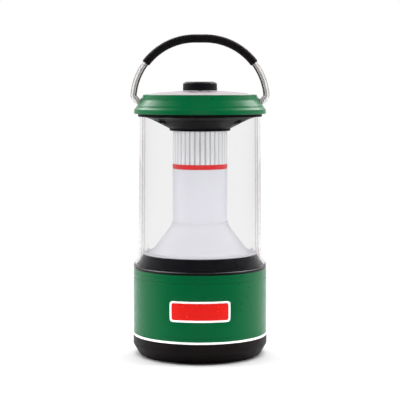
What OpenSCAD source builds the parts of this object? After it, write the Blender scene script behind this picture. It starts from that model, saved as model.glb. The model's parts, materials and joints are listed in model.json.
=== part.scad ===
// Battery lantern: a clear globe between a green battery base and a green lid, a white diffuser
// column with a fluted heat sink inside it, and a steel bail with a soft grip over the top.
// Millimetres. +Z is up, the lantern stands on Z = 0, the badge faces -Y and the bail turns about X.

/* [Cells] */
// Diameter of one D cell
cell_d = 34.2; // [33.2:0.1:34.6]
// Length of one D cell over its button
cell_len = 61.5; // [59:0.5:63]
// Space between neighbouring cells
cell_gap = 0.6; // [0.4:0.1:1.5]
// Height of a compressed contact spring
spring_h = 3.0; // [2.4:0.1:4]
// Outer radius of a contact spring
spring_r = 8.5; // [6:0.1:10]
// Wire of a contact spring
spring_wire = 1; // [0.8:0.1:1.2]

/* [Battery carrier and bay] */
// Thickness of the carrier's end plates
carrier_plate = 2.0; // [1.6:0.1:3]
// Rim of the carrier outside the cells
carrier_rim = 0.8; // [0.6:0.1:1.6]
// Thickness of the sheet metal contacts
contact_t = 0.5; // [0.3:0.1:0.8]
// Thickness of the terminals between carrier and deck
terminal_t = 0.9; // [0.6:0.1:1.4]
// Clearance round the carrier in its bay
carrier_fit = 0.5; // [0.3:0.1:1]
// Wall of the bay
bay_wall = 2.0; // [1.6:0.1:3]
// Thickness of the deck over the bay
deck_t = 2.4; // [1.8:0.1:3.5]

/* [Base] */
// Air space between the bay and the outer wall
side_gap = 18.4; // [16:0.2:24]
// Outer wall of the base
base_wall = 2.6; // [2:0.1:3.4]
// How much narrower the base is at its top
base_draft = 0.3; // [0:0.1:0.8]
// Height of the black foot
foot_h = 19.8; // [17:0.2:24]
// How far the foot stands out past the housing
foot_proud = 0.5; // [0.2:0.1:1.5]
// Height of the foot's sloping lower edge
bevel_h = 11.2; // [8:0.2:14]
// Width of the foot's sloping lower edge
bevel_w = 6.6; // [4:0.2:8]
// Height of the white trim ring
trim_h = 2.1; // [1.4:0.1:3]
// Height of the green upper ring
ring_h = 7.6; // [6.4:0.2:10]
// Width of the shadow groove under the upper ring
groove_w = 0.8; // [0.5:0.1:1.5]

/* [Battery door] */
// Height of the door's underside above the floor
door_lift = 1.5; // [1:0.1:2.5]
// Thickness of the door's skirt flange
door_flange = 1.7; // [1.4:0.1:2.4]
// Thickness of the foot's bayonet lugs
lug_t = 2.2; // [1.8:0.1:3]
// Thickness of the door's tabs and top plate
tab_t = 2.0; // [1.6:0.1:2.6]
// Reach of the bayonet lugs and tabs
lug_reach = 3.0; // [2.4:0.1:4]
// Width of each lug, in degrees
lug_angle = 44; // [36:1:50]
// Width of each tab, in degrees
tab_angle = 36; // [30:1:40]
// Clearance between the door and the foot
door_gap = 0.4; // [0.3:0.1:0.6]

/* [Collar] */
// Thickness of the collar's flange
flange_h = 1.8; // [1.4:0.1:3]
// Height of the collar over the base
collar_h = 14.2; // [11:0.2:18]
// Air between the collar's open top and the globe
collar_gap = 1.8; // [1.2:0.1:3]
// Width of the collar's foot inside the globe
collar_foot = 8; // [6.6:0.1:10]
// Wall of the collar
collar_wall = 2.2; // [1.8:0.1:3]

/* [Globe] */
// How far the globe stands in from the base's top edge, above its flare
globe_inset = 5.3; // [4:0.1:7]
// How much narrower the globe is at its top
globe_draft = 1.2; // [0.4:0.1:1.6]
// Wall of the globe
globe_wall = 2.2; // [1.8:0.1:2.8]
// Height of the globe
globe_h = 148; // [120:0.5:170]
// Height of the globe's flared foot
flare_h = 12; // [9:0.5:14]
// Thickness of the lower gasket
gasket_t = 0.6; // [0.4:0.1:1.2]
// Depth of the globe's seat in the head
seat_depth = 1.6; // [1.2:0.1:2]

/* [Light column] */
// Outer radius of the diffuser, red ring and heat sink
column_r = 27; // [24:0.2:29]
// Wall of the diffuser tube
diffuser_wall = 1.6; // [1.2:0.1:2.4]
// Height of the flared reflector
flare_reflector_h = 29; // [22:0.5:36]
// Width of the reflector's flat rim
reflector_rim = 7.8; // [6.4:0.1:10]
// Wall of the flared reflector
reflector_wall = 1.2; // [0.8:0.1:2]
// Height of the red ring
red_ring_h = 4.8; // [3:0.1:7]
// Length of the heat sink that shows
sink_h = 32.6; // [24:0.2:40]
// Number of flutes on the heat sink
flutes = 32; // [24:1:40]
// Outer radius of the centre tube
tube_r = 6; // [5:0.1:7.5]
// Wall of the centre tube
tube_wall = 0.8; // [0.6:0.1:1.4]
// Thickness of the circuit boards
board_t = 1.6; // [1:0.1:2]
// Number of light emitting diodes
leds = 12; // [6:1:16]

/* [Head] */
// Height of the black shroud under the head
shroud_h = 14; // [11:0.2:18]
// How far the shroud's lower lip stands out from the heat sink
shroud_lip = 3; // [2.6:0.1:5]
// Wall of the shroud
shroud_wall = 2; // [1.6:0.1:3]
// Thickness of the head plate
head_plate_t = 2.8; // [2.4:0.1:4]
// How far the head plate stands out past the globe
head_plate_proud = 0.7; // [0.3:0.1:2]
// How far the lid's rim stands out past the head plate
lid_overhang = 3.9; // [2.6:0.1:6]
// Height of the lid
lid_h = 18.7; // [17:0.1:21]
// How much narrower the lid is at its top edge
lid_slope = 9.1; // [8:0.1:11]
// Wall of the lid
lid_wall = 2.4; // [2:0.1:3]
// Depth of the recess in the lid for the dial plate
dial_recess = 1.4; // [1:0.1:2]
// Rise of the dial plate's crown
dial_crown = 3.7; // [2:0.1:5]

/* [Knob] */
// Radius of the knob
knob_r = 16.9; // [13:0.1:20]
// Height of the knob
knob_h = 8.7; // [7:0.1:11]
// Gap between the knob and the dial plate
knob_gap = 0.3; // [0.3:0.1:0.8]
// Radius of the switch shaft
shaft_r = 3; // [2.5:0.1:3.5]
// Running clearance of a shaft in its hole, on the radius
running_gap = 0.05; // [0.03:0.01:0.09]

/* [Bail] */
// Radius of the bail's steel rod
rod_r = 3.1; // [2.4:0.1:3.4]
// How far the middle of the rod stands out past the lid's rim
bail_proud = 0.7; // [0.3:0.1:4]
// Half length of the straight stretch at the top of the bail
bail_flat = 4.9; // [3:0.1:8]
// Radius of the pins at the ends of the bail
pin_r = 2.1; // [1.6:0.1:2.4]
// Radius of the soft grip
grip_r = 4.1; // [3.6:0.1:4.4]
// How far the grip reaches down each side, in degrees from the top
grip_angle = 53; // [35:1:65]
// Where the bail's foot leaves the round bend, in degrees from the top
foot_start = 84.3; // [80:0.1:86]
// Direction of the bail's foot, in degrees from the top
foot_turn = 129; // [120:1:135]
// Radius of the tight bend above the foot, at the middle of the rod
foot_bend_r = 4; // [3.6:0.1:5]
// Height of the pivots above the lid's rim
pivot_h = 11.9; // [11:0.1:13]
// Radius of the pivot bushes
bush_r = 3.6; // [3.2:0.1:4]

/* [Badge] */
// Width of the badge plate
badge_w = 58; // [40:1:70]
// Height of the badge plate
badge_h = 20; // [14:0.5:26]
// Width of the badge's pale border
badge_rim = 1.8; // [1:0.1:3]

/* [Fasteners] */
// Radius of the screw shanks
screw_r = 1.5; // [1.2:0.1:1.8]
// Radius of the screw heads
head_r = 2.8; // [2.4:0.1:3.2]
// Height of the screw heads
head_h = 1.8; // [1.4:0.1:2.4]
// Length of thread a screw holds by in the base and the collar
grip_len = 7.6; // [6:0.1:9]
// Length of thread a screw holds by in the head
head_grip_len = 6; // [4:0.1:8]
// Radius of the screw posts
post_r = 4.2; // [3.6:0.1:5]

/* [Hidden] */

$fn = 96;
small_fn = 32;      // screws, pins and other small rounds
cut = 1;            // how far a cutter reaches past the face it cuts
seat_gap = 0.05;    // clearance of a pressed or seated round
side = 60;          // half size of the boxes that trim a shape to one side

// Battery stack, from the floor up
cell_pitch = cell_d + cell_gap;
cell_ring_r = cell_pitch / 2 * sqrt(2);
carrier_r = cell_ring_r + cell_d / 2 + carrier_rim;
bay_r = carrier_r + carrier_fit;
door_r = bay_r - door_gap;
bore_r = bay_r + lug_reach;
z_flange_top = door_lift + door_flange;
z_lug = z_flange_top + 0.3;
z_tab = z_lug + lug_t + 0.2;
z_door_top = z_tab + tab_t;
z_ledge = z_door_top + door_gap;
z_carrier = z_door_top + 0.3;
z_low_contact = z_carrier + carrier_plate;
z_spring = z_low_contact + contact_t;
z_cell_top = z_spring + spring_h + cell_len;
z_up_plate = z_cell_top + contact_t;
z_terminal = z_up_plate + carrier_plate;
z_deck = z_terminal + 2 * terminal_t;

stem_ring_r = 9.5;                          // place of the terminals' stems
stem_r = 1.2;
terminal_r = 12;
carrier_post_r = cell_ring_r - cell_d / 2 - 0.6;
contact_r = carrier_r - 3.2;                // outer edge of the contacts, inside the carrier's ribs

// Base, from the floor up
base_r = bay_r + bay_wall + side_gap + base_wall;
foot_r = base_r + foot_proud;
z_trim = foot_h;
z_housing = z_trim + trim_h;
z_ring = z_deck - 1.2;
z_housing_top = z_ring - groove_w;
z_base_top = z_ring + ring_h;
z_deck_top = z_deck + deck_t;
base_top_r = base_r - base_draft;
post_ring_r = base_r - base_wall - post_r - 2.2;
z_foot_screw = 5;                           // seat of the housing screws' heads
screw_play = 0.2;                           // clearance of a screw's shank
head_play = 0.3;                            // clearance of a screw's head in its pocket
rib_t = 1.6;                                // ribs in the foot and the base
stand_r = bore_r + 2.6;                     // where the foot's standing face begins
seal_r = 0.6;                               // cord of the door's seal
foot_floor = 4;                             // thickness of the foot's floor
groove_d = 0.3;                             // depth of the fine lines round the base
z_badge = (z_housing + z_housing_top) / 2 + 1.4;
badge_corner = 3;
badge_play = 0.1;                           // clearance round the badge in its seat

// Globe and its seats
z_globe_seat = z_base_top + flange_h;
z_globe = z_globe_seat + gasket_t;
z_globe_top = z_globe + globe_h;
z_collar_top = z_base_top + collar_h;
globe_r = base_top_r - globe_inset;
collar_land_r = base_top_r - globe_wall - 0.6;
collar_top_r = globe_r - globe_wall - collar_gap;

// Head
globe_top_r = globe_r - globe_draft;
globe_bore_r = globe_top_r - globe_wall;    // bore of the globe at its top
head_plate_r = globe_r + head_plate_proud;
lid_r = head_plate_r + lid_overhang;
lid_top_r = lid_r - lid_slope;
spigot_r = lid_r - lid_wall - 0.2;          // rim of the head plate inside the lid
spigot_h = 2.4;
spigot_t = 1.8;
cushion_t = 0.8;                            // soft ring between the globe's top and the head plate
z_head = z_globe_top - seat_depth + cushion_t;
z_lid = z_head + head_plate_t;
z_lid_top = z_lid + lid_h;
z_lid_plate = z_lid_top - dial_recess;
dial_r = lid_top_r - lid_wall - 1.4;
dial_hole_r = 11;
z_dial_top = z_lid_top + dial_crown;
z_knob = z_dial_top + knob_gap;
z_pivot = z_lid + pivot_h;

// Light column
z_shroud = z_head - shroud_h;
z_sink = z_shroud - sink_h;
z_red = z_sink - red_ring_h;
z_neck = z_collar_top + flare_reflector_h;
flare_reflector_r = collar_top_r - reflector_rim;
shroud_lip_r = column_r + shroud_lip;
column_bore_r = column_r - diffuser_wall;   // bore of the diffuser
neck_len = 3;                               // how far the diffuser reaches into the reflector's neck
clip_r = collar_top_r - 4.8;                // place of the reflector's clips
clip_h = 4.2;
sink_tenon = 5;                             // length of the heat sink inside the shroud
sink_floor = 4;                             // solid floor of the heat sink
rib_r = 0.475 * 2 * PI * column_r / flutes / (1 + PI / flutes);

// Switch
switch_r = 9;
bushing_r = 4.5;
bushing_h = 4.6;
shaft_top = z_knob + knob_h - 1.8;
nut_h = 2.2;
washer_t = 0.6;
z_switch = z_lid_plate - lid_wall - 9;
z_board = z_switch - board_t;
lid_screw_r = lid_top_r - 14.9;
board_r = lid_screw_r - post_r - 2.8;
board_post_r = board_r - 8;
shroud_screw_r = globe_bore_r - 13.4;
shroud_seat = 3.6;                          // thickness under the shroud's screw heads
boss_h = 3;                                 // bosses on the head plate

// Bail
bail_r = lid_r + bail_proud - bail_flat;    // radius of the bend, at the middle of the rod
z_bail_centre = z_pivot + 0.9;
bend_start = [bail_flat + bail_r * sin(foot_start), z_bail_centre + bail_r * cos(foot_start)];
bend_centre = bend_start - foot_bend_r * [sin(foot_start), cos(foot_start)];
bend_end = bend_centre + foot_bend_r * [sin(foot_turn), cos(foot_turn)];
foot_len = (bend_end[1] - z_pivot) / sin(foot_turn);
ball_x = bend_end[0] + foot_len * cos(foot_turn);
bush_x = ball_x - rod_r - 0.3;
bush_len = 8.6;
bush_step = 0.6;                            // shoulder of a bush
pin_len = bush_len + rod_r;
joint_over = 0.02;                          // how far a joint of the rod stands out past the rod
joint_len = 0.3;                            // how far it reaches along the rod
recess_r = bush_r + 1.4;                    // recess in the lid round each pivot

// ---------------------------------------------------------------- shared shapes

function unit(v) = v / norm(v);

// One corner b between a and c, rounded to radius r with n steps
function corner(a, b, c, r, n) =
    r <= 0 ? [b] :
    let (u = unit(a - b), v = unit(c - b), half = acos(u * v) / 2,
         centre = b + unit(u + v) * r / sin(half),
         p = b + u * r / tan(half) - centre, q = b + v * r / tan(half) - centre,
         start = atan2(p[1], p[0]), raw = atan2(q[1], q[0]) - start,
         sweep = raw > 180 ? raw - 360 : raw < -180 ? raw + 360 : raw)
    [for (i = [0:n]) centre + r * [cos(start + sweep * i / n), sin(start + sweep * i / n)]];

// Outline from [x, y, radius] corners; a corner with no radius stays sharp
function rounded(pts, n = 5) =
    let (m = len(pts), flat = [for (p = pts) [p[0], p[1]]])
    [for (i = [0:m - 1]) each corner(flat[(i + m - 1) % m], flat[i], flat[(i + 1) % m],
                                     len(pts[i]) > 2 ? pts[i][2] : 0, n)];

// Solid of revolution from rounded corners
module turned(pts, n = 5) {
    rotate_extrude() polygon(rounded(pts, n));
}

// Plain ring
module ring(z, h, r_out, r_in) {
    rotate_extrude() translate([r_in, z]) square([r_out - r_in, h]);
}

// Copies at an even pitch round the axis
module around(count, radius, first = 0) {
    for (i = [0:count - 1])
        rotate([0, 0, first + 360 / count * i]) translate([radius, 0, 0]) children();
}

// The same copies at each angle of a list
module at_angles(angles, radius) {
    for (a = angles) rotate([0, 0, a]) translate([radius, 0, 0]) children();
}

// Sector of a ring, centred on the +X axis
module sector(z, h, r_out, r_in, angle) {
    rotate([0, 0, -angle / 2]) rotate_extrude(angle = angle)
        translate([r_in, z]) square([r_out - r_in, h]);
}

// Pan head screw, shank up from the seat of its head
module screw(z_seat, length) {
    translate([0, 0, z_seat]) cylinder(h = length, r = screw_r, $fn = small_fn);
    difference() {
        translate([0, 0, z_seat - head_h]) cylinder(h = head_h, r = head_r, $fn = small_fn);
        for (a = [0, 90]) rotate([0, 0, a]) translate([-head_r * 0.6, -0.35, z_seat - head_h - cut])
            cube([head_r * 1.2, 0.7, cut + head_h * 0.5]);
    }
}

// Hole that clears a screw's shank
module screw_hole(z, h) {
    translate([0, 0, z]) cylinder(h = h, r = screw_r + screw_play, $fn = small_fn);
}

// Pilot hole that a screw's thread fills
module pilot(z, h) {
    translate([0, 0, z]) cylinder(h = h, r = screw_r + seat_gap, $fn = small_fn);
}

// Upright rounded rectangle that reaches out along -Y
module badge_block(w, h, r) {
    translate([0, 0, z_badge]) rotate([90, 0, 0]) linear_extrude(height = foot_r + cut)
        union() {
            square([w - 2 * r, h], center = true);
            square([w, h - 2 * r], center = true);
            for (x = [-1, 1], y = [-1, 1]) translate([x * (w / 2 - r), y * (h / 2 - r)])
                circle(r = r, $fn = small_fn);
        }
}

// The places of the four cells, alternately button up and button down
module at_cells() {
    for (i = [0:3]) rotate([0, 0, 45 + 90 * i]) translate([cell_ring_r, 0, 0]) {
        $up = i % 2 == 0;
        children();
    }
}

post_angles = [45, 135, 225, 315];
rib_angles = [for (a = [0:45:315]) a];
side_angles = [0, 90, 180, 270];
shroud_screw_angles = [-145, -35, 35, 145];

// ---------------------------------------------------------------- base

module foot_bumper() {
    hollow_r = foot_r - base_wall - 0.6;
    stop_angle = 3;
    z_stop = z_lug + lug_t / 2;
    sunk = 0.6;             // how far bosses and ribs start inside the floor
    color("#1f1b1c") {
        difference() {
            turned([[bay_r, z_ledge], [bay_r, foot_h], [foot_r, foot_h, 0.6], [foot_r, bevel_h, 3],
                    [foot_r - bevel_w + 0.9, 1.6, 2.6], [foot_r - bevel_w - 1.8, 0, 2],
                    [stand_r, 0, 1], [bore_r, door_lift, 0.4], [bore_r, z_ledge]]);
            // Hollow between the bore and the outer wall, open at the top
            turned([[bay_r + bay_wall, foot_h + cut], [bay_r + bay_wall, z_ledge + 4.4, 0.5],
                    [bore_r + 2.4, z_ledge + 2, 0.5], [bore_r + 2.4, foot_floor, 1],
                    [foot_r - bevel_w - base_wall, foot_floor, 2], [hollow_r, bevel_h + 1, 2],
                    [hollow_r, foot_h + cut]]);
            at_angles(post_angles, post_ring_r) foot_screw_pocket();
        }
        // Bayonet lugs that hold the door, each with a stop for its tab
        at_angles([0, 120, 240], 0) {
            sector(z_lug, lug_t, bore_r + 1, bay_r, lug_angle);
            rotate([0, 0, (tab_angle + stop_angle) / 2 + 0.9])
                sector(z_stop, z_ledge + 1 - z_stop, bore_r + 0.8, bay_r + 0.2, stop_angle);
        }
        // Screw bosses and ribs in the hollow
        difference() {
            union() {
                at_angles(post_angles, post_ring_r) translate([0, 0, foot_floor - sunk])
                    cylinder(h = foot_h - foot_floor + sunk, r = post_r);
                at_angles(rib_angles, bore_r + 1.6) translate([0, -rib_t / 2, foot_floor - sunk])
                    cube([foot_r - bevel_w - bore_r - 3, rib_t, foot_h - foot_floor - 1]);
            }
            at_angles(post_angles, post_ring_r) foot_screw_pocket();
        }
    }
}

// Counterbored hole up through the foot for one housing screw
module foot_screw_pocket() {
    screw_hole(-cut, foot_h + 2 * cut);
    translate([0, 0, -cut]) cylinder(h = cut + z_foot_screw, r = head_r + head_play, $fn = small_fn);
}

module trim_ring() {
    trim_r = base_r + 0.3;
    trim_bore_r = base_r - base_wall - 2.4;
    color("#fbf9f7") turned([[trim_bore_r, z_trim], [trim_r, z_trim, 0.3],
                             [trim_r, z_housing, 0.3], [trim_bore_r, z_housing]]);
}

module base_housing() {
    z_line = z_housing + 3; // fine line above the trim
    badge_seat = 1.2;
    pilot_h = 14;
    color("#0b6b42") {
        difference() {
            turned([[base_r - base_wall, z_housing], [base_r, z_housing, 0.2],
                    [base_r, z_line - groove_d, 0.1], [base_r - groove_d, z_line, 0.1],
                    [base_r, z_line + groove_d, 0.1],
                    [base_top_r, z_housing_top, 0.6], [base_top_r - base_wall, z_housing_top]]);
            // Seat of the badge plate
            intersection() {
                ring(z_housing + 4, z_housing_top - z_housing - 8, base_r + cut, base_r - badge_seat);
                badge_block(badge_w + 2 * badge_play, badge_h + 2 * badge_play, badge_corner + badge_play);
            }
        }
        // Bay for the battery carrier, and the ribs and screw posts between it and the wall
        ring(z_housing, z_ring - z_housing, bay_r + bay_wall, bay_r);
        difference() {
            union() {
                at_angles(rib_angles, bay_r + bay_wall - 0.2) translate([0, -rib_t / 2, z_housing + 2])
                    cube([side_gap + 0.8, rib_t, z_housing_top - z_housing - 8]);
                at_angles(post_angles, post_ring_r) translate([0, 0, z_housing])
                    cylinder(h = z_ring - z_housing, r = post_r);
            }
            at_angles(post_angles, post_ring_r) {
                pilot(z_housing - cut, pilot_h + cut);
                pilot(z_ring - pilot_h, pilot_h + cut);
            }
        }
    }
}

module upper_ring() {
    z_line = z_ring + 3.5;  // fine line round the ring
    socket_h = 4;
    hole_h = z_deck_top - z_ring + 2 * cut;
    color("#0b6b42") difference() {
        union() {
            turned([[base_top_r - base_wall, z_ring], [base_top_r, z_ring, 0.4],
                    [base_top_r, z_line - groove_d, 0.1], [base_top_r - groove_d, z_line, 0.1],
                    [base_top_r, z_line + groove_d, 0.1], [base_top_r, z_base_top, 0.3],
                    [base_top_r - base_wall, z_base_top]]);
            // Deck over the bay
            ring(z_deck, deck_t, base_top_r - base_wall / 2, tube_r - 1.4);
            // Centring rim over the bay wall, and the socket of the centre tube
            ring(z_ring, z_deck - z_ring, bay_r + bay_wall, bay_r + 0.4);
            ring(z_deck_top - seat_gap, socket_h + seat_gap, tube_r + 2, tube_r + seat_gap);
            // Post pads
            at_angles(post_angles, post_ring_r) translate([0, 0, z_ring])
                cylinder(h = z_deck - z_ring + seat_gap, r = post_r);
        }
        at_angles(post_angles, post_ring_r) screw_hole(z_ring - cut, hole_h);
        at_angles(side_angles, post_ring_r) screw_hole(z_ring - cut, hole_h);
    }
}

module badge_plate() {
    color("#fbf9f7") difference() {
        intersection() {
            ring(z_housing, z_housing_top - z_housing, base_r + 0.35, base_r - 1.15);
            badge_block(badge_w, badge_h, badge_corner);
        }
        badge_field(foot_r + cut, 0);
    }
}

module badge_inlay() {
    color("#e1251b") badge_field(base_r + 0.2, seat_gap);
}

// The badge's inner field, out to a radius and smaller by a gap on every side
module badge_field(r, gap) {
    intersection() {
        ring(z_housing, z_housing_top - z_housing, r, base_r - 0.4);
        badge_block(badge_w - 2 * (badge_rim + gap), badge_h - 2 * (badge_rim + gap),
                    badge_corner - badge_rim / 2);
    }
}

module foot_screws() {
    color("silver") at_angles(post_angles, post_ring_r)
        screw(z_foot_screw, z_housing + grip_len - z_foot_screw);
}

module deck_screws() {
    color("silver") at_angles(post_angles, post_ring_r) translate([0, 0, z_deck_top])
        mirror([0, 0, 1]) screw(0, z_deck_top - z_ring + grip_len);
}

// ---------------------------------------------------------------- batteries

module battery_carrier() {
    post_h = z_up_plate - z_low_contact + 2 * cut;
    color("#3a3a3c") difference() {
        union() {
            for (z = [z_carrier, z_up_plate]) translate([0, 0, z])
                cylinder(h = carrier_plate, r = carrier_r);
            // Centre post and the four outer ribs between the cells
            translate([0, 0, z_low_contact - cut]) cylinder(h = post_h, r = carrier_post_r);
            at_angles(side_angles, 0)
                sector(z_low_contact - cut, post_h, carrier_r - 0.3, contact_r, 16);
        }
        // Windows that let the contacts through the upper plate
        at_angles([45, 135], stem_ring_r) translate([0, 0, z_up_plate - cut])
            cylinder(h = carrier_plate + 2 * cut, r = stem_r + seat_gap, $fn = small_fn);
    }
}

module battery_cells() {
    nub_h = 1.5;
    nub_r = 4.75;
    base_rim = 2.2;         // rim round the recessed base of a cell
    cell_r = cell_d / 2;
    color("#c9a24a") at_cells() translate([0, 0, $up ? z_spring + spring_h : z_cell_top - spring_h])
        mirror([0, 0, $up ? 0 : 1])
            turned([[0, 0], [cell_r - base_rim - 0.2, 0], [cell_r - base_rim, 0.5], [cell_r, 0.5, 0.6],
                    [cell_r, cell_len - nub_h - 0.3, 0.8], [cell_r - 3, cell_len - nub_h - 0.3],
                    [nub_r, cell_len - nub_h, 0.3], [nub_r, cell_len, 0.4], [0, cell_len]]);
}

// Conical wire coil from the floor up, with closed ends
module contact_springs() {
    turns = 2.4;
    narrowing = 1.6;        // how much smaller the coil is where it meets the cell
    color("silver") at_cells() translate([0, 0, $up ? z_spring : z_cell_top])
        mirror([0, 0, $up ? 0 : 1]) coil(turns, spring_r - spring_wire / 2, narrowing,
                                         spring_h - spring_wire, spring_wire / 2);
}

// Round wire of radius w along a helix that starts at radius r and narrows as it rises by h
module coil(turns, r, narrowing, h, w) {
    steps = round(turns * 18);
    facets = 6;
    points = [for (i = [0:steps], k = [0:facets - 1])
        let (t = i / steps, a = 360 * turns * t, tilt = 360 / facets * k,
             out = r - narrowing * t + w * cos(tilt))
        [out * cos(a), out * sin(a), w + h * t + w * sin(tilt)]];
    walls = [for (i = [0:steps - 1], k = [0:facets - 1], half = [0, 1])
        let (a = i * facets + k, b = i * facets + (k + 1) % facets, c = a + facets, d = b + facets)
        half == 0 ? [a, c, b] : [b, c, d]];
    polyhedron(points, concat(walls, [[for (k = [0:facets - 1]) k],
                                      [for (k = [facets - 1:-1:0]) steps * facets + k]]));
}

module lower_contacts() {
    color("silver") for (a = [0, 180]) contact(z_low_contact, a, 172);
}

module upper_contacts() {
    color("silver") {
        contact(z_cell_top, 270, 172);
        for (a = [45, 135]) contact(z_cell_top, a, 78);
    }
}

// Flat contact under or over the cells, centred on an angle
module contact(z, at, angle) {
    rotate([0, 0, at]) sector(z, contact_t, contact_r, carrier_post_r + 0.1, angle);
}

module carrier_terminals() {
    color("#c8a15a") {
        terminal_pair(z_terminal);
        // Stems down to the contacts
        at_angles([45, 135], stem_ring_r) translate([0, 0, z_up_plate])
            cylinder(h = carrier_plate + terminal_t / 2, r = stem_r, $fn = small_fn);
    }
}

module deck_terminals() {
    color("#c8a15a") terminal_pair(z_terminal + terminal_t);
}

// Two half-round plates side by side
module terminal_pair(z) {
    at_angles([0, 180], 0) translate([0, 0, z]) linear_extrude(height = terminal_t) intersection() {
        circle(r = terminal_r);
        translate([1, -side]) square([side, 2 * side]);
    }
}

module battery_door() {
    skirt_r = door_r - 5;   // inside of the door's skirt
    rim_r = bore_r - door_gap;
    bar_w = 8;
    boss_r = 9;
    dimple_r = 6;
    dimple_d = 2;
    color("#1f1b1c") {
        difference() {
            turned([[0, z_tab - 1], [skirt_r, z_tab - 1, 2], [skirt_r, door_lift, 0.6],
                    [rim_r, door_lift, 0.4], [rim_r, z_flange_top, 0.3],
                    [door_r, z_flange_top], [door_r, z_door_top], [0, z_door_top]]);
            // Groove of the seal
            ring(z_flange_top + 0.4, 1.8, door_r + cut, door_r - 2 * seal_r);
        }
        // Bayonet tabs
        at_angles([0, 120, 240], 0) sector(z_tab, tab_t - 0.2, rim_r, door_r - 2, tab_angle);
        // Grip bar across the dish
        difference() {
            translate([0, 0, door_lift]) linear_extrude(height = z_tab - door_lift) union() {
                square([2 * (door_r - 3), bar_w], center = true);
                circle(r = boss_r);
            }
            translate([0, 0, door_lift - cut]) cylinder(h = cut + dimple_d, r = dimple_r);
        }
    }
}

module door_seal() {
    color("#2a2a2a") rotate_extrude()
        translate([door_r - seal_r + seat_gap, z_flange_top + 1.3]) circle(r = seal_r, $fn = small_fn);
}

// ---------------------------------------------------------------- collar and globe

module globe_collar() {
    foot_in = collar_land_r - collar_foot;
    lip_in = collar_top_r - collar_wall;
    land_h = 2.6;           // upright land that centres the globe
    seat_h = 1.2;           // rebate of the reflector's rim
    color("#17171a") difference() {
        union() {
            turned([[foot_in, z_base_top], [base_top_r, z_base_top, 0.3],
                    [base_top_r, z_globe_seat, 0.5], [collar_land_r, z_globe_seat],
                    [collar_land_r, z_globe_seat + land_h, 0.5],
                    [collar_land_r - 0.8, z_globe_seat + land_h + 0.5],
                    [collar_top_r, z_collar_top - 0.8, 0.5], [collar_top_r - 0.4, z_collar_top],
                    [lip_in, z_collar_top], [lip_in, z_collar_top - seat_h],
                    [lip_in - 2.4, z_collar_top - 2 * seat_h], [foot_in, z_base_top + 2.4]]);
            // Feet that stand on the deck and take the screws
            at_angles(side_angles, post_ring_r) translate([0, 0, z_deck_top])
                cylinder(h = z_base_top - z_deck_top + 2, r = post_r);
        }
        at_angles(side_angles, post_ring_r) pilot(z_deck_top - cut, z_base_top - z_deck_top + cut + 1);
    }
}

module collar_screws() {
    color("silver") at_angles(side_angles, post_ring_r)
        screw(z_deck, z_base_top - z_deck + 0.4);
}

module globe_gasket() {
    color("#333333") ring(z_globe_seat, gasket_t, base_top_r - 0.4, collar_land_r + 0.2);
}

// Clear tube that flares out to its foot, with the same wall from end to end
module globe() {
    foot_edge = base_top_r + 0.1;
    z_foot = z_globe + 1.8;
    z_flare = z_globe + flare_h * 0.6;
    z_straight = z_globe + flare_h * 1.6;
    flare_r = globe_r + 1.2;
    color([0.93, 0.95, 0.97, 0.25]) turned([
        [foot_edge, z_globe, 0.3], [foot_edge - 0.2, z_foot, 1], [flare_r, z_flare, 9],
        [globe_r, z_straight, 20], [globe_top_r, z_globe_top, 0.4], [globe_bore_r, z_globe_top, 0.4],
        [globe_r - globe_wall, z_straight, 20], [flare_r - globe_wall, z_flare, 7],
        [foot_edge - globe_wall, z_foot, 1], [foot_edge - globe_wall, z_globe, 0.3]]);
}

module globe_cushion() {
    color("#333333") ring(z_globe_top, cushion_t, globe_top_r, globe_bore_r);
}

// ---------------------------------------------------------------- light column

// White cone round the foot of the diffuser: a smooth flare down to a flat rim on the collar
module flared_reflector() {
    neck_r = column_r + 0.7;
    neck_in = column_bore_r - 1.6;
    rim_t = reflector_wall;
    flare_bend = 12;        // bend from the neck into the slope
    clip_t = 1.6;
    clip_w = 4.8;
    notch_w = 6;
    color("#f4f3f5") difference() {
        union() {
            turned([[neck_in, z_neck - neck_len], [column_r + seat_gap, z_neck - neck_len],
                    [column_r + seat_gap, z_neck + neck_len], [neck_r, z_neck + neck_len],
                    [neck_r + 0.5, z_neck - 1, flare_bend],
                    [flare_reflector_r, z_collar_top + rim_t, 3], [collar_top_r, z_collar_top + rim_t, 0.4],
                    [collar_top_r, z_collar_top], [flare_reflector_r - 1, z_collar_top, 2],
                    [neck_in, z_neck - neck_len - 2 * rim_t, 8]]);
            // Upright clips over the collar's edge
            at_angles([0, 180], clip_r) translate([-clip_t / 2, -clip_w / 2, z_collar_top + rim_t / 2])
                cube([clip_t, clip_w, clip_h]);
        }
        // Notches beside the clips
        at_angles([0, 180], clip_r + 1.8) translate([-0.5, -notch_w / 2, z_collar_top - cut])
            cube([1, notch_w, rim_t + 2 * cut]);
    }
}

module diffuser_tube() {
    color("#efeef2") turned([[column_bore_r, z_neck - neck_len], [column_r, z_neck - neck_len],
                             [column_r, z_red], [column_bore_r, z_red]]);
}

module red_ring() {
    red_bore_r = column_bore_r - 1.4;
    color("#d93f42") turned([
        [red_bore_r, z_red], [column_r, z_red, 0.4], [column_r + 0.1, z_red + red_ring_h / 2],
        [column_r, z_sink, 0.4], [red_bore_r, z_sink]]);
}

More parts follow.
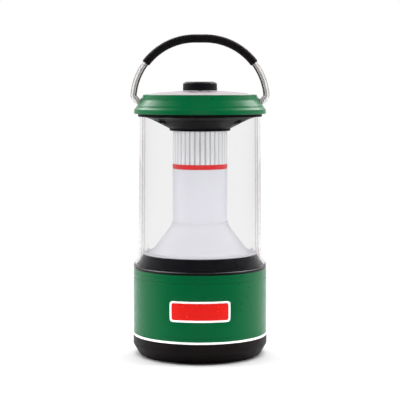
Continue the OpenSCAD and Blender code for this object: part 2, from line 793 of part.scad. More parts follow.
// Fluted aluminium cup: round ribs side by side, a thin wall behind them, and a floor for the board
module heat_sink() {
    z_top = z_shroud + sink_tenon;
    root_r = column_r - rib_r - 0.2;
    bore = column_r - 2 * rib_r - 2;
    color("#d5d5d8") difference() {
        translate([0, 0, z_sink]) linear_extrude(height = z_top - z_sink) union() {
            circle(r = root_r);
            for (i = [0:flutes - 1]) rotate(360 / flutes * (i + 0.5))
                translate([column_r - rib_r, 0]) circle(r = rib_r, $fn = small_fn);
        }
        translate([0, 0, z_sink + sink_floor]) cylinder(h = z_top, r = bore);
        translate([0, 0, z_sink - cut]) cylinder(h = sink_floor + 2 * cut, r = tube_r + seat_gap);
    }
}

module led_board() {
    color("#f2f2ee") ring(z_sink - board_t, board_t, column_bore_r - 1.5, tube_r + 0.3);
}

module led_chips() {
    led_ring_r = (column_r + tube_r) / 2 - 1;
    led_w = 3.5;
    led_t = 0.8;
    color("#f3e08a") around(leds, led_ring_r)
        translate([-led_w / 2, -led_w / 2, z_sink - board_t - led_t]) cube([led_w, led_w, led_t]);
}

module centre_tube() {
    color("silver") ring(z_deck_top, z_sink + sink_floor - z_deck_top, tube_r, tube_r - tube_wall);
}

module lead_wires() {
    wire_r = 0.8;
    wire_x = (tube_r - tube_wall) * 0.46;
    color("#b02020") for (x = [-1, 1]) translate([x * wire_x, 0, z_deck])
        cylinder(h = z_board - z_deck, r = wire_r, $fn = small_fn);
}

// ---------------------------------------------------------------- head

// Black cone that hangs under the head plate and holds the heat sink in its socket
module shroud() {
    t = shroud_wall;
    top_r = globe_bore_r - 0.5;
    bore = column_r + 0.3;
    lip_h = 2;
    z_lip = z_shroud + lip_h;
    z_floor = z_shroud + sink_tenon;
    vent_r = 8;             // hole for the centre tube and the wires
    screw_h = 5.6;
    color("#232325") difference() {
        union() {
            turned([[bore, z_shroud], [shroud_lip_r, z_shroud, 0.4], [shroud_lip_r, z_lip, 0.4],
                    [top_r - 8.6, z_head - 2.9, 12], [top_r - 4.1, z_head - 1.3, 3], [top_r, z_head],
                    [top_r - 4, z_head], [top_r - 8.8, z_head - 0.7],
                    [shroud_lip_r + t, z_lip + 1.4 * t, 4], [bore, z_lip + t]]);
            // Socket over the end of the heat sink
            turned([[bore, z_lip], [bore + t, z_lip], [bore + t, z_floor + t],
                    [vent_r, z_floor + t], [vent_r, z_floor], [bore, z_floor]]);
            // Screw posts up to the head plate
            at_angles(shroud_screw_angles, shroud_screw_r) translate([0, 0, z_head - screw_h])
                cylinder(h = screw_h, r = post_r);
        }
        at_angles(shroud_screw_angles, shroud_screw_r) {
            screw_hole(z_shroud, shroud_h + cut);
            translate([0, 0, z_shroud])
                cylinder(h = shroud_h - shroud_seat, r = head_r + head_play, $fn = small_fn);
        }
    }
}

module shroud_screws() {
    color("silver") at_angles(shroud_screw_angles, shroud_screw_r)
        screw(z_head - shroud_seat, shroud_seat + head_plate_t + boss_h);
}

module head_plate() {
    vent_r = 9;
    groove_in = globe_bore_r - 0.2;
    groove_out = globe_top_r + 0.2;
    z_groove = z_globe_top + cushion_t;
    flange_t = 1.2;         // flange that carries the rim inside the lid
    color("#1b1b1d") difference() {
        union() {
            turned([[vent_r, z_head], [groove_in, z_head], [groove_in, z_groove],
                    [groove_out, z_groove], [groove_out, z_head],
                    [head_plate_r, z_head, 0.3], [head_plate_r, z_lid, 0.2],
                    [spigot_r, z_lid], [spigot_r, z_lid + spigot_h],
                    [spigot_r - spigot_t, z_lid + spigot_h], [spigot_r - spigot_t, z_lid + flange_t],
                    [groove_in - spigot_t, z_lid + flange_t], [groove_in - spigot_t, z_lid],
                    [vent_r, z_lid]]);
            // Bosses for the shroud's screws and posts for the control board
            at_angles(shroud_screw_angles, shroud_screw_r) translate([0, 0, z_lid - cut])
                cylinder(h = cut + boss_h, r = post_r);
            at_angles(post_angles, board_post_r) translate([0, 0, z_lid - cut])
                cylinder(h = cut + z_board - z_lid, r = 3);
        }
        at_angles(shroud_screw_angles, shroud_screw_r)
            pilot(z_head - cut, head_plate_t + boss_h + cut);
        at_angles(side_angles, lid_screw_r) screw_hole(z_head - cut, head_plate_t + 2 * cut);
    }
}

// Green lid: upright rim, a step, a steep curved side and a flat edge round the dial plate
module lid() {
    plate_z = z_lid_plate - lid_wall;
    rim_h = 4.2;
    step_h = 6.2;
    neck_h = 8.1;
    brow_h = z_lid_top - z_lid - 5.1;
    housing_r = recess_r + 2;
    boss_sunk = 0.4;
    color("#0e6e45") difference() {
        union() {
            turned([[lid_r - lid_wall, z_lid], [lid_r, z_lid, 0.5], [lid_r - 0.2, z_lid + rim_h, 0.6],
                    [lid_r - 2, z_lid + step_h, 1], [lid_r - 3.1, z_lid + neck_h, 2],
                    [lid_top_r + 1.8, z_lid + brow_h, 5], [lid_top_r, z_lid_top, 0.7],
                    [dial_r + 0.2, z_lid_top, 0.3], [dial_r + 0.2, z_lid_plate],
                    [bushing_r + 0.1, z_lid_plate], [bushing_r + 0.1, plate_z],
                    [lid_top_r - lid_wall, plate_z, 2], [lid_r - 3.4 - lid_wall, z_lid + neck_h - 1.1, 3],
                    [lid_r - lid_wall, z_lid + rim_h - 0.8, 1]]);
            // Screw bosses and the housings of the pivot bushes
            at_angles(side_angles, lid_screw_r) translate([0, 0, z_lid])
                cylinder(h = plate_z - z_lid + boss_sunk, r = post_r);
            at_angles([0, 180], 0) intersection() {
                translate([bush_x - bush_len - 2, 0, z_pivot]) rotate([0, 90, 0])
                    cylinder(h = side, r = housing_r);
                translate([0, 0, z_lid])
                    cylinder(h = lid_h - dial_recess, r1 = lid_r - 0.6, r2 = lid_top_r - 0.4);
            }
        }
        at_angles(side_angles, lid_screw_r) pilot(z_lid - cut, head_grip_len + 3 + cut);
        // Bores of the pivot bushes
        at_angles([0, 180], bush_x - bush_len) translate([0, 0, z_pivot]) rotate([0, 90, 0]) {
            translate([0, 0, -8]) cylinder(h = 10, r = bush_r - bush_step + seat_gap);
            cylinder(h = bush_len + cut, r = bush_r + seat_gap);
            translate([0, 0, bush_len]) cylinder(h = side, r = recess_r);
        }
    }
}

module lid_screws() {
    color("silver") at_angles(side_angles, lid_screw_r) screw(z_head, head_plate_t + head_grip_len);
}

module dial_plate() {
    shoulder = 8.4;         // where the plate's crown turns over, in from its edge
    flat_r = knob_r + 1.2;
    color("#d9d8dc") turned([
        [dial_hole_r, z_lid_plate], [dial_r, z_lid_plate], [dial_r, z_lid_top - 0.2, 0.2],
        [dial_r - shoulder, z_lid_top + 0.5 * dial_crown, 40], [flat_r, z_dial_top, 20],
        [dial_hole_r, z_dial_top]], 8);
}

module control_board() {
    color("#1d6b3a") ring(z_board, board_t, board_r, tube_r);
}

module rotary_switch() {
    switch_floor = 2;
    color("#4a4a50") difference() {
        union() {
            ring(z_switch, z_lid_plate - lid_wall - z_switch, switch_r, 0);
            ring(z_lid_plate - lid_wall, lid_wall + bushing_h, bushing_r, 0);
        }
        translate([0, 0, z_switch + switch_floor]) cylinder(h = side, r = shaft_r + running_gap);
    }
}

module switch_washer() {
    color("silver") ring(z_lid_plate, washer_t, switch_r - 0.6, bushing_r + seat_gap);
}

module switch_nut() {
    nut_r = switch_r - 1.4;
    color("silver") difference() {
        translate([0, 0, z_lid_plate + washer_t]) cylinder(h = nut_h, r = nut_r, $fn = 6);
        translate([0, 0, z_lid_plate]) cylinder(h = nut_h + 2, r = bushing_r + seat_gap);
    }
}

module pivot_bushes() {
    color("#17171a") at_angles([0, 180], 0) translate([bush_x, 0, z_pivot]) rotate([0, -90, 0])
        difference() {
            union() {
                cylinder(h = bush_len, r = bush_r);
                translate([0, 0, bush_len - cut]) cylinder(h = cut + 3, r = bush_r - bush_step);
            }
            translate([0, 0, -cut]) cylinder(h = side, r = pin_r + running_gap, $fn = small_fn);
        }
}

// ---------------------------------------------------------------- knob and bail

module knob() {
    hub_r = shaft_r + 2.2;
    hub_lift = 2;
    skirt_d = 3.6;          // depth of the hollow inside the skirt
    z_top = z_knob + knob_h;
    brow_w = 3.4;
    brow_h = 1.6;
    pointer_w = 1.4;
    pointer_len = 6;
    pointer_d = 0.5;
    color("#161418") difference() {
        turned([[0, z_knob + hub_lift], [hub_r - 1, z_knob + hub_lift], [hub_r, z_knob + skirt_d],
                [knob_r - 2.4, z_knob + skirt_d, 1], [knob_r - 2.2, z_knob, 0.3], [knob_r, z_knob, 0.5],
                [knob_r - 0.2, z_top - brow_h, 1.2], [knob_r - brow_w, z_top, 3], [0, z_top]]);
        // Bore of the shaft, and the pointer groove on top
        translate([0, 0, z_knob]) cylinder(h = shaft_top - z_knob, r = shaft_r);
        translate([-pointer_w / 2, -knob_r + 4, z_top - pointer_d])
            cube([pointer_w, pointer_len, cut + pointer_d]);
    }
}

module switch_shaft() {
    shaft_foot = z_switch + 2.3;
    color("silver") translate([0, 0, shaft_foot]) cylinder(h = shaft_top - shaft_foot, r = shaft_r);
}

// The bail's round bend on one side, down to an angle from the top, with a given section
module bail_arc(angle) {
    translate([bail_flat, 0, z_bail_centre]) rotate([90, 0, 0]) rotate([0, 0, 90 - angle])
        rotate_extrude(angle = angle) translate([bail_r, 0]) children();
}

// Straight top of the bail, just proud of the bends so that they join
module bail_top(r) {
    translate([-bail_flat - joint_len, 0, z_bail_centre + bail_r]) rotate([0, 90, 0])
        cylinder(h = 2 * (bail_flat + joint_len), r = r + joint_over);
}

module bail_rod() {
    color("silver") {
        bail_top(rod_r);
        for (m = [0, 1]) mirror([m, 0, 0]) {
            bail_arc(foot_start) circle(r = rod_r);
            translate([bend_start[0], 0, bend_start[1]]) sphere(r = rod_r + joint_over);
            translate([bend_centre[0], 0, bend_centre[1]]) rotate([90, 0, 0]) rotate([0, 0, 90 - foot_turn])
                rotate_extrude(angle = foot_turn - foot_start) translate([foot_bend_r, 0]) circle(r = rod_r);
            translate([bend_end[0], 0, bend_end[1]]) sphere(r = rod_r + joint_over);
            translate([bend_end[0], 0, bend_end[1]]) rotate([0, foot_turn + 90, 0])
                cylinder(h = foot_len, r = rod_r);
            translate([ball_x, 0, z_pivot]) sphere(r = rod_r + joint_over);
            translate([ball_x - pin_len, 0, z_pivot]) rotate([0, 90, 0])
                cylinder(h = pin_len, r = pin_r, $fn = small_fn);
        }
    }
}

module bail_grip() {
    color("#171519") difference() {
        union() {
            bail_top(grip_r);
            for (m = [0, 1]) mirror([m, 0, 0]) bail_arc(grip_angle) circle(r = grip_r);
        }
        bail_top(rod_r + seat_gap);
        for (m = [0, 1]) mirror([m, 0, 0]) bail_arc(grip_angle + 1) circle(r = rod_r + seat_gap);
    }
}

foot_bumper();
trim_ring();
base_housing();
upper_ring();
badge_plate();
badge_inlay();
battery_carrier();
battery_cells();
contact_springs();
lower_contacts();
upper_contacts();
carrier_terminals();
deck_terminals();
foot_screws();
deck_screws();
battery_door();
door_seal();
globe_collar();
collar_screws();
globe_gasket();
globe();
globe_cushion();
flared_reflector();
diffuser_tube();
red_ring();
led_board();
led_chips();
heat_sink();
centre_tube();
lead_wires();
shroud();
shroud_screws();
head_plate();
lid();
lid_screws();
dial_plate();
control_board();
rotary_switch();
switch_washer();
switch_nut();
pivot_bushes();
knob();
switch_shaft();
bail_rod();
bail_grip();
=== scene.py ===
import json
import math

import bmesh
import bpy
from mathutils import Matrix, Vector

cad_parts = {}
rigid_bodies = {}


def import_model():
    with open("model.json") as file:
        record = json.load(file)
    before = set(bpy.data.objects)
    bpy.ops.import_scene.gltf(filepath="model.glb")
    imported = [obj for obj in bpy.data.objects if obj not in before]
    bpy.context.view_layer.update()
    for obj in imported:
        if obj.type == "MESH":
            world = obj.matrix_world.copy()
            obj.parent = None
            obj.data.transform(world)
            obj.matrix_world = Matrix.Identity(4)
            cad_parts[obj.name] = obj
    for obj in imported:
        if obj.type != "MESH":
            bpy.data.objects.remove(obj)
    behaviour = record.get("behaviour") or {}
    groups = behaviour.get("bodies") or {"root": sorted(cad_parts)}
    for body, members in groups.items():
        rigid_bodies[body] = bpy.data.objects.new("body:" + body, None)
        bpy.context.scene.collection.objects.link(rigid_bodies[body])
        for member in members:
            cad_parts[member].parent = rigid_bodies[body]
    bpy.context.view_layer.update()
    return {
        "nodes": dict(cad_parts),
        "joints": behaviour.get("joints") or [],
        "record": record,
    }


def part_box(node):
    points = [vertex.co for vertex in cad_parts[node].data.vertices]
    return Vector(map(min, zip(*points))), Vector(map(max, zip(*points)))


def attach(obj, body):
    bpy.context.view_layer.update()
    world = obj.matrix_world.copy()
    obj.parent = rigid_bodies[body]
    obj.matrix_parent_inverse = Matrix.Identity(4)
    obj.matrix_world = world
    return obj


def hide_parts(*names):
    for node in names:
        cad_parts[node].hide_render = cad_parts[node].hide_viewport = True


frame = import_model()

MM = 0.001
SLOTS = {s["node"]: s["material_slot"] for s in frame["record"]["subparts"]}
BODY_OF = {n: b for b, nodes in frame["record"]["behaviour"]["bodies"].items() for n in nodes}
# Height of the pins that the bail turns on
PIVOT_Z = next(j for j in frame["joints"] if j["name"] == "bail_swing")["pos_m"][2]

WELD = 0.002 * MM       # points of a CAD mesh that lie closer than this are one
NO_LENGTH = 1e-7        # a side shorter than this counts as nothing
ON_AXIS = 1e-6          # a point closer to the axis than this lies on it
TURN_STEPS = 192        # sides of a turned piece
GLOBE_STEPS = 320       # sides of the globe, whose edge is seen against white
CORNER = 32             # sharpest angle in degrees that is still shaded smooth
ROUND_CORNER = 40       # the same on pieces whose small curves have few faces

SINK_RIBS = 32          # round ribs of the heat sink
RIB_OVERLAP = 1.04      # their radius as a share of the one at which they just touch
SEAM_DEPTH = 0.5 * MM   # shadow groove under the upper ring


# ---------------------------------------------------------------- node helpers

def srgb(r, g, b):
    """A colour given as 0-255 sRGB values, as linear RGBA."""
    def line(c):
        c /= 255
        return c / 12.92 if c <= 0.04045 else ((c + 0.055) / 1.055) ** 2.4
    return (line(r), line(g), line(b), 1)


def as_colour(tint):
    """RGBA from a grey level or an RGB triple."""
    return (*tint, 1) if isinstance(tint, tuple) else (tint, tint, tint, 1)


class Nodes:
    """Short calls that add nodes to a node tree."""

    def __init__(self, tree):
        self.tree = tree

    def add(self, kind, **values):
        """A new node. Values go to its sockets by name, and to its properties with a leading underscore."""
        node = self.tree.nodes.new(kind)
        for key, value in values.items():
            if key.startswith("_"):
                setattr(node, key[1:], value)
            else:
                self.put(node.inputs[key.replace("_", " ")], value)
        return node

    def put(self, socket, value):
        """Links a socket to an output, or gives it a value."""
        if isinstance(value, bpy.types.NodeSocket):
            self.tree.links.new(value, socket)
        else:
            socket.default_value = value

    def calc(self, operation, *values):
        """The result of a Math node."""
        node = self.add("ShaderNodeMath", _operation=operation)
        for socket, value in zip(node.inputs, values):
            self.put(socket, value)
        return node.outputs["Value"]

    def vector(self, operation, *values):
        """A Vector Math node."""
        node = self.add("ShaderNodeVectorMath", _operation=operation)
        for socket, value in zip(node.inputs, values):
            self.put(socket, value)
        return node

    def ramp(self, value, low, high, to_low=0.0, to_high=1.0):
        """A value stretched from one range to another, and held at its ends."""
        node = self.add("ShaderNodeMapRange", Value=value)
        for socket, end in zip(("From Min", "From Max", "To Min", "To Max"), (low, high, to_low, to_high)):
            node.inputs[socket].default_value = end
        return node.outputs["Result"]

    def tones(self, value, stops):
        """The colour at a value between stops, each a place and a grey level or a colour."""
        node = self.add("ShaderNodeValToRGB", Fac=value)
        elements = node.color_ramp.elements
        for element, (place, tint) in ((elements[0], stops[0]), (elements[-1], stops[-1])):
            element.position, element.color = place, as_colour(tint)
        for place, tint in stops[1:-1]:
            elements.new(place).color = as_colour(tint)
        return node.outputs["Color"]

    def mix(self, factor, first, second):
        """A mix of two colours: the first at 0, the second at 1."""
        node = self.add("ShaderNodeMix", _data_type="RGBA", Factor=factor, A=first, B=second)
        return node.outputs["Result"]

    def blend(self, factor, first, second):
        """A mix of two shaders: the first at 0, the second at 1."""
        node = self.add("ShaderNodeMixShader", Fac=factor)
        self.put(node.inputs[1], first)
        self.put(node.inputs[2], second)
        return node.outputs["Shader"]

    def plain_view(self):
        """1 for rays that look past the lantern or through its clear wall, 0 for the others.

        What mirrors in the pieces inside the globe is among the others: it has a glossy bounce,
        and it passes more surfaces of clear plastic than the two of one wall.
        """
        path = self.add("ShaderNodeLightPath").outputs
        unturned = self.calc("LESS_THAN", path["Glossy Depth"], 0.5)
        one_wall = self.calc("LESS_THAN", path["Transmission Depth"], 2.5)
        direct = self.calc("MAXIMUM", unturned, one_wall)
        through = self.calc("MULTIPLY", path["Is Transmission Ray"], direct)
        return self.calc("MAXIMUM", path["Is Camera Ray"], through)


class Paint(Nodes):
    """A material with a Principled shader, patterned by the place on the piece."""

    def __init__(self, name, rough=0.5, metal=0.0, **sockets):
        self.name = name        # Blender may number the material's own name
        self.material = bpy.data.materials.new(name)
        self.material.use_nodes = True
        super().__init__(self.material.node_tree)
        self.shader = self.tree.nodes["Principled BSDF"]
        self.output = self.tree.nodes["Material Output"]
        self.shader.inputs["Roughness"].default_value = rough
        self.shader.inputs["Metallic"].default_value = metal
        for socket, value in sockets.items():
            self.shader.inputs[socket.replace("_", " ")].default_value = value
        self.place = self.add("ShaderNodeTexCoord").outputs["Object"]

    def stretched(self, x, y, z):
        """The place on the piece, scaled along each axis."""
        return self.add("ShaderNodeMapping", Vector=self.place, Scale=(x, y, z)).outputs["Vector"]

    def noise(self, scale, detail=2.0, where=None, roughness=0.5):
        node = self.add("ShaderNodeTexNoise", Vector=where or self.place, Scale=scale, Detail=detail,
                        Roughness=roughness)
        return node.outputs["Fac"]

    def cells(self, scale, feature="F1"):
        node = self.add("ShaderNodeTexVoronoi", _feature=feature, Vector=self.place, Scale=scale)
        return node.outputs["Distance"]

    def colour(self, value):
        self.put(self.shader.inputs["Base Color"], value)

    def roughness(self, value):
        self.put(self.shader.inputs["Roughness"], value)

    def bump(self, height, distance, strength=1.0):
        node = self.add("ShaderNodeBump", Height=height, Strength=strength, Distance=distance)
        self.put(self.shader.inputs["Normal"], node.outputs["Normal"])

    def surface(self, shader):
        self.put(self.output.inputs["Surface"], shader)


# ---------------------------------------------------------------- kinds of material

def moulded(name, light, dark, rough, grain, grain_scale=2600, spread=0.06, **sockets):
    """Moulded plastic: soft clouds and flecks in the colour, uneven gloss, and a fine grain."""
    p = Paint(name, rough, **sockets)
    cloud = p.ramp(p.noise(28, 3), 0.3, 0.7)
    fleck = p.ramp(p.noise(900, 2), 0.35, 0.75, 0.0, 0.35)
    p.colour(p.mix(p.calc("ADD", p.calc("MULTIPLY", cloud, 0.65), fleck), dark, light))
    p.roughness(p.ramp(p.noise(140, 4), 0.3, 0.7, rough - spread, rough + spread))
    p.bump(p.noise(grain_scale, 3, roughness=0.6), grain)
    return p


def metal(name, light, dark, rough, streaks):
    """Metal with fine lines along the axis whose scale is small."""
    p = Paint(name, rough, 1.0)
    line = p.noise(1.0, 5, p.stretched(*streaks), 0.6)
    p.colour(p.mix(p.ramp(line, 0.3, 0.7), as_colour(dark), as_colour(light)))
    p.roughness(p.ramp(line, 0.25, 0.75, rough * 0.7, rough * 1.35))
    p.bump(line, 0.02 * MM)
    return p


def sink_ribs():
    """Outer radius of the heat sink, and the radius of each of its round ribs."""
    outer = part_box("diffuser_tube")[1].x
    share = math.sin(math.pi / SINK_RIBS)
    return outer, RIB_OVERLAP * outer * share / (1 + share)


def ribbed_metal_with_painted_shade(name):
    """Bright aluminium of the heat sink, with painted shade down in the grooves between its ribs."""
    p = Paint(name, 0.2, 0.1)
    outer, rib = sink_ribs()
    off_axis = p.vector("LENGTH", p.stretched(1, 1, 0)).outputs["Value"]
    # Painted shade: the colour darkens from the crests of the ribs down into the grooves
    crest = p.ramp(off_axis, outer - 0.95 * rib, outer - 0.25 * rib)
    tone = p.mix(crest, as_colour((0.2, 0.2, 0.21)), as_colour((0.93, 0.93, 0.94)))
    line = p.noise(1.0, 5, p.stretched(260, 260, 6), 0.6)
    p.colour(p.mix(p.ramp(line, 0.3, 0.7, 0.0, 0.08), tone, as_colour((0.8, 0.8, 0.81))))
    p.roughness(p.ramp(line, 0.25, 0.75, 0.14, 0.27))
    p.bump(line, 0.0005 * MM)
    return p


# Painted reflection on the bail: its tones from the inside of its curve (0) to the outside (1)
BAIL_PAINTED_REFLECTION = ((0.0, 0.01), (0.22, 0.01), (0.28, 0.42), (0.36, 0.42), (0.46, 0.25), (0.54, 0.25),
              (0.62, 0.45), (0.7, 0.76), (0.76, 0.66), (0.84, 0.42), (0.92, 0.2), (1.0, 0.12))


def nickel_with_painted_reflection(name):
    """Satin nickel of the bail with a painted reflection: dark along the inside of the curve and pale
    outside.
    """
    p = Paint(name, 0.3, 0.2, Specular_IOR_Level=0.2)
    normal = p.add("ShaderNodeTexCoord").outputs["Normal"]
    outward = p.vector("NORMALIZE", p.vector("SUBTRACT", p.place, (0, 0, PIVOT_Z)).outputs["Vector"])
    turn = p.vector("DOT_PRODUCT", outward.outputs["Vector"], normal).outputs["Value"]
    # Painted reflection: the colour runs from dark to pale bands by how far the surface faces away from the
    # pivot
    tone = p.tones(p.ramp(turn, -1, 1), [(at, (v, v * 0.97, v * 0.95)) for at, v in BAIL_PAINTED_REFLECTION])
    p.colour(p.mix(p.ramp(p.noise(160, 3), 0.3, 0.7, 0.0, 0.03), tone, as_colour(0.6)))
    p.roughness(p.ramp(p.noise(300, 3), 0.3, 0.7, 0.24, 0.34))
    p.bump(p.noise(160, 5), 0.003 * MM)
    return p


def rubber(name, light, dark, rough):
    """Black rubber with a little dust."""
    p = Paint(name, rough)
    p.colour(p.mix(p.ramp(p.noise(60, 4), 0.45, 0.8), dark, light))
    p.roughness(p.ramp(p.noise(400, 2), 0.3, 0.7, rough - 0.08, rough + 0.06))
    p.bump(p.noise(2200, 3), 0.04 * MM)
    return p


def foam(name):
    """Closed-cell foam of the grip: tiny pores and a soft sheen."""
    p = Paint(name, 0.62, Specular_IOR_Level=0.2, Sheen_Weight=0.06, Sheen_Roughness=0.4,
              Sheen_Tint=(0.9, 0.6, 0.5, 1))
    p.colour(p.mix(p.ramp(p.noise(220, 3), 0.35, 0.7), srgb(9, 8, 11), srgb(17, 14, 15)))
    p.roughness(p.ramp(p.noise(300, 2), 0.3, 0.7, 0.52, 0.7))
    p.bump(p.ramp(p.cells(1500), 0.0, 0.7), 0.08 * MM, 0.6)
    return p


# Tint of the clear wall by how steeply it is looked through, from straight on (0) to edge on (1); the
# darkening and dark line near edge on are painted refraction
WALL_TINT_AND_PAINTED_EDGE = ((0.0, (0.94, 0.94, 0.94)), (0.3, (0.93, 0.93, 0.93)), (0.5, (0.92, 0.915, 0.915)),
             (0.66, (0.87, 0.86, 0.86)), (0.69, (0.44, 0.38, 0.4)), (0.71, (0.44, 0.38, 0.4)),
             (0.74, (0.9, 0.89, 0.89)), (1.0, (0.95, 0.94, 0.94)))


def clear(name):
    """Clear polycarbonate. Shadow and diffuse rays pass, so the lamps light what stands inside."""
    p = Paint(name, 0.0, Transmission_Weight=1.0, IOR=1.1)
    p.roughness(p.ramp(p.noise(24, 3), 0.3, 0.7, 0.0, 0.02))
    # Painted refraction: the wall's colour darkens toward its edge and has a narrow dark line just inside
    # it
    tint = p.tones(p.add("ShaderNodeLayerWeight", Blend=0.5).outputs["Facing"], WALL_TINT_AND_PAINTED_EDGE)
    p.colour(p.mix(p.ramp(p.noise(12, 2), 0.35, 0.65, 0.0, 0.02), tint, as_colour(1.0)))
    path = p.add("ShaderNodeLightPath").outputs
    passing = p.calc("MAXIMUM", path["Is Shadow Ray"], path["Is Diffuse Ray"])
    open_way = p.add("ShaderNodeBsdfTransparent", Color=(0.97, 0.97, 0.98, 1)).outputs["BSDF"]
    p.surface(p.blend(passing, p.shader.outputs["BSDF"], open_way))
    return p


def milky(name, light, dark):
    """Milky diffuser plastic with light in its depth."""
    p = Paint(name, 0.3, Subsurface_Weight=0.08, Subsurface_Scale=2 * MM)
    p.colour(p.mix(p.ramp(p.noise(20, 3, p.stretched(1, 1, 0.15)), 0.3, 0.7), dark, light))
    p.roughness(p.ramp(p.noise(90, 3), 0.3, 0.7, 0.3, 0.33))
    p.bump(p.noise(700, 2), 0.002 * MM, 0.5)
    return p


def jacket(name):
    """Printed sleeve of a plain cell: a dark band above a copper one."""
    band_edge = 30 * MM
    p = Paint(name, 0.28, 0.35)
    height = p.add("ShaderNodeSeparateXYZ", Vector=p.place).outputs["Z"]
    copper = p.mix(p.ramp(p.noise(60, 3), 0.3, 0.7), srgb(184, 118, 60), srgb(206, 142, 82))
    p.colour(p.mix(p.calc("GREATER_THAN", height, band_edge), copper, srgb(34, 34, 38)))
    p.roughness(p.ramp(p.noise(200, 3), 0.3, 0.7, 0.22, 0.34))
    p.bump(p.noise(500, 2), 0.03 * MM)
    return p


def board(name, mask, trace):
    """Circuit board: solder mask over thin copper traces."""
    p = Paint(name, 0.35)
    lines = p.ramp(p.cells(220, feature="DISTANCE_TO_EDGE"), 0.03, 0.05)
    p.colour(p.mix(lines, trace, mask))
    p.roughness(p.ramp(p.noise(300, 2), 0.3, 0.7, 0.28, 0.42))
    p.bump(lines, -0.04 * MM)
    return p


def finishes():
    """The material of every slot in the record, by its name."""
    made = (
        moulded("black_foot", srgb(17, 11, 12), srgb(12, 8, 9), 0.52, 0.05 * MM, 1700,
                Specular_IOR_Level=0.14),
        moulded("white_trim", srgb(250, 248, 246), srgb(243, 241, 240), 0.3, 0.01 * MM),
        moulded("green_shell", srgb(1, 84, 46), srgb(0, 79, 43), 0.32, 0.012 * MM, spread=0.05,
                Specular_IOR_Level=0.16),
        moulded("badge_white", srgb(250, 250, 250), srgb(244, 244, 245), 0.26, 0.01 * MM),
        moulded("badge_red", srgb(210, 24, 17), srgb(205, 22, 15), 0.26, 0.01 * MM, spread=0.02),
        moulded("carrier_grey", srgb(62, 62, 64), srgb(50, 50, 52), 0.5, 0.03 * MM),
        jacket("cell_jacket"),
        metal("contact_steel", (0.72, 0.72, 0.73), (0.58, 0.58, 0.6), 0.3, (900, 60, 900)),
        metal("terminal_brass", (0.8, 0.6, 0.28), (0.66, 0.48, 0.2), 0.3, (60, 900, 900)),
        metal("screw_steel", (0.7, 0.7, 0.71), (0.55, 0.55, 0.57), 0.28, (700, 700, 120)),
        rubber("seal_rubber", srgb(46, 46, 47), srgb(33, 33, 34), 0.7),
        moulded("collar_black", srgb(17, 16, 19), srgb(14, 13, 16), 0.12, 0.003 * MM, spread=0.02,
                Specular_IOR_Level=0.12),
        clear("clear_globe"),
        moulded("reflector_white", srgb(218, 217, 221), srgb(215, 214, 218), 0.4, 0.01 * MM,
                Specular_IOR_Level=0.3),
        milky("diffuser_white", srgb(226, 225, 230), srgb(223, 222, 227)),
        moulded("ring_red", srgb(228, 56, 56), srgb(216, 44, 46), 0.34, 0.01 * MM),
        ribbed_metal_with_painted_shade("sink_aluminium"),
        board("board_white", srgb(240, 240, 236), srgb(222, 222, 216)),
        moulded("led_phosphor", srgb(246, 226, 120), srgb(238, 214, 96), 0.4, 0.02 * MM),
        board("board_green", srgb(22, 92, 50), srgb(60, 140, 88)),
        moulded("wire_sleeve", srgb(168, 34, 32), srgb(146, 26, 26), 0.42, 0.03 * MM),
        moulded("head_black", srgb(15, 13, 15), srgb(11, 10, 12), 0.5, 0.04 * MM, 1900,
                Specular_IOR_Level=0.04),
        moulded("dial_grey", srgb(176, 167, 172), srgb(172, 163, 168), 0.34, 0.01 * MM),
        moulded("switch_grey", srgb(78, 78, 84), srgb(64, 64, 70), 0.45, 0.02 * MM),
        moulded("bush_black", srgb(30, 30, 32), srgb(22, 22, 24), 0.4, 0.02 * MM),
        moulded("knob_black", srgb(13, 12, 15), srgb(9, 8, 11), 0.5, 0.04 * MM, 1900,
                Specular_IOR_Level=0.2),
        nickel_with_painted_reflection("bail_chrome"),
        foam("grip_foam"),
    )
    return {paint.name: paint.material for paint in made}


# ---------------------------------------------------------------- geometry helpers

def piece(name, mesh, body, slot, *nodes):
    """A new object on a body, with the finish of a slot, standing for CAD nodes."""
    obj = bpy.data.objects.new(name, mesh)
    bpy.context.scene.collection.objects.link(obj)
    mesh.materials.append(FINISH[slot])
    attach(obj, body)
    if nodes:
        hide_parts(*nodes)
    return obj


def remade(node, mesh):
    """A new object that takes the place of one CAD node."""
    return piece(node + "_finished", mesh, BODY_OF[node], SLOTS[node], node)


def finished_mesh(name, bm, angle=CORNER):
    """A mesh from a bmesh, smooth but for the edges where faces meet at more than an angle."""
    mesh = bpy.data.meshes.new(name + "_mesh")
    bm.to_mesh(mesh)
    bm.free()
    mesh.polygons.foreach_set("use_smooth", [True] * len(mesh.polygons))
    mesh.set_sharp_from_angle(angle=math.radians(angle))
    return mesh


def welded(node):
    """The mesh of a CAD node as a bmesh in one piece."""
    bm = bmesh.new()
    bm.from_mesh(frame["nodes"][node].data)
    bmesh.ops.remove_doubles(bm, verts=bm.verts, dist=WELD)
    return bm


def refined(node):
    """A CAD node's own form as one welded mesh, smooth across its fillets."""
    obj = remade(node, finished_mesh(node, welded(node)))
    weighted = obj.modifiers.new("even_shading", "WEIGHTED_NORMAL")
    weighted.keep_sharp = True
    weighted.mode = "FACE_AREA"


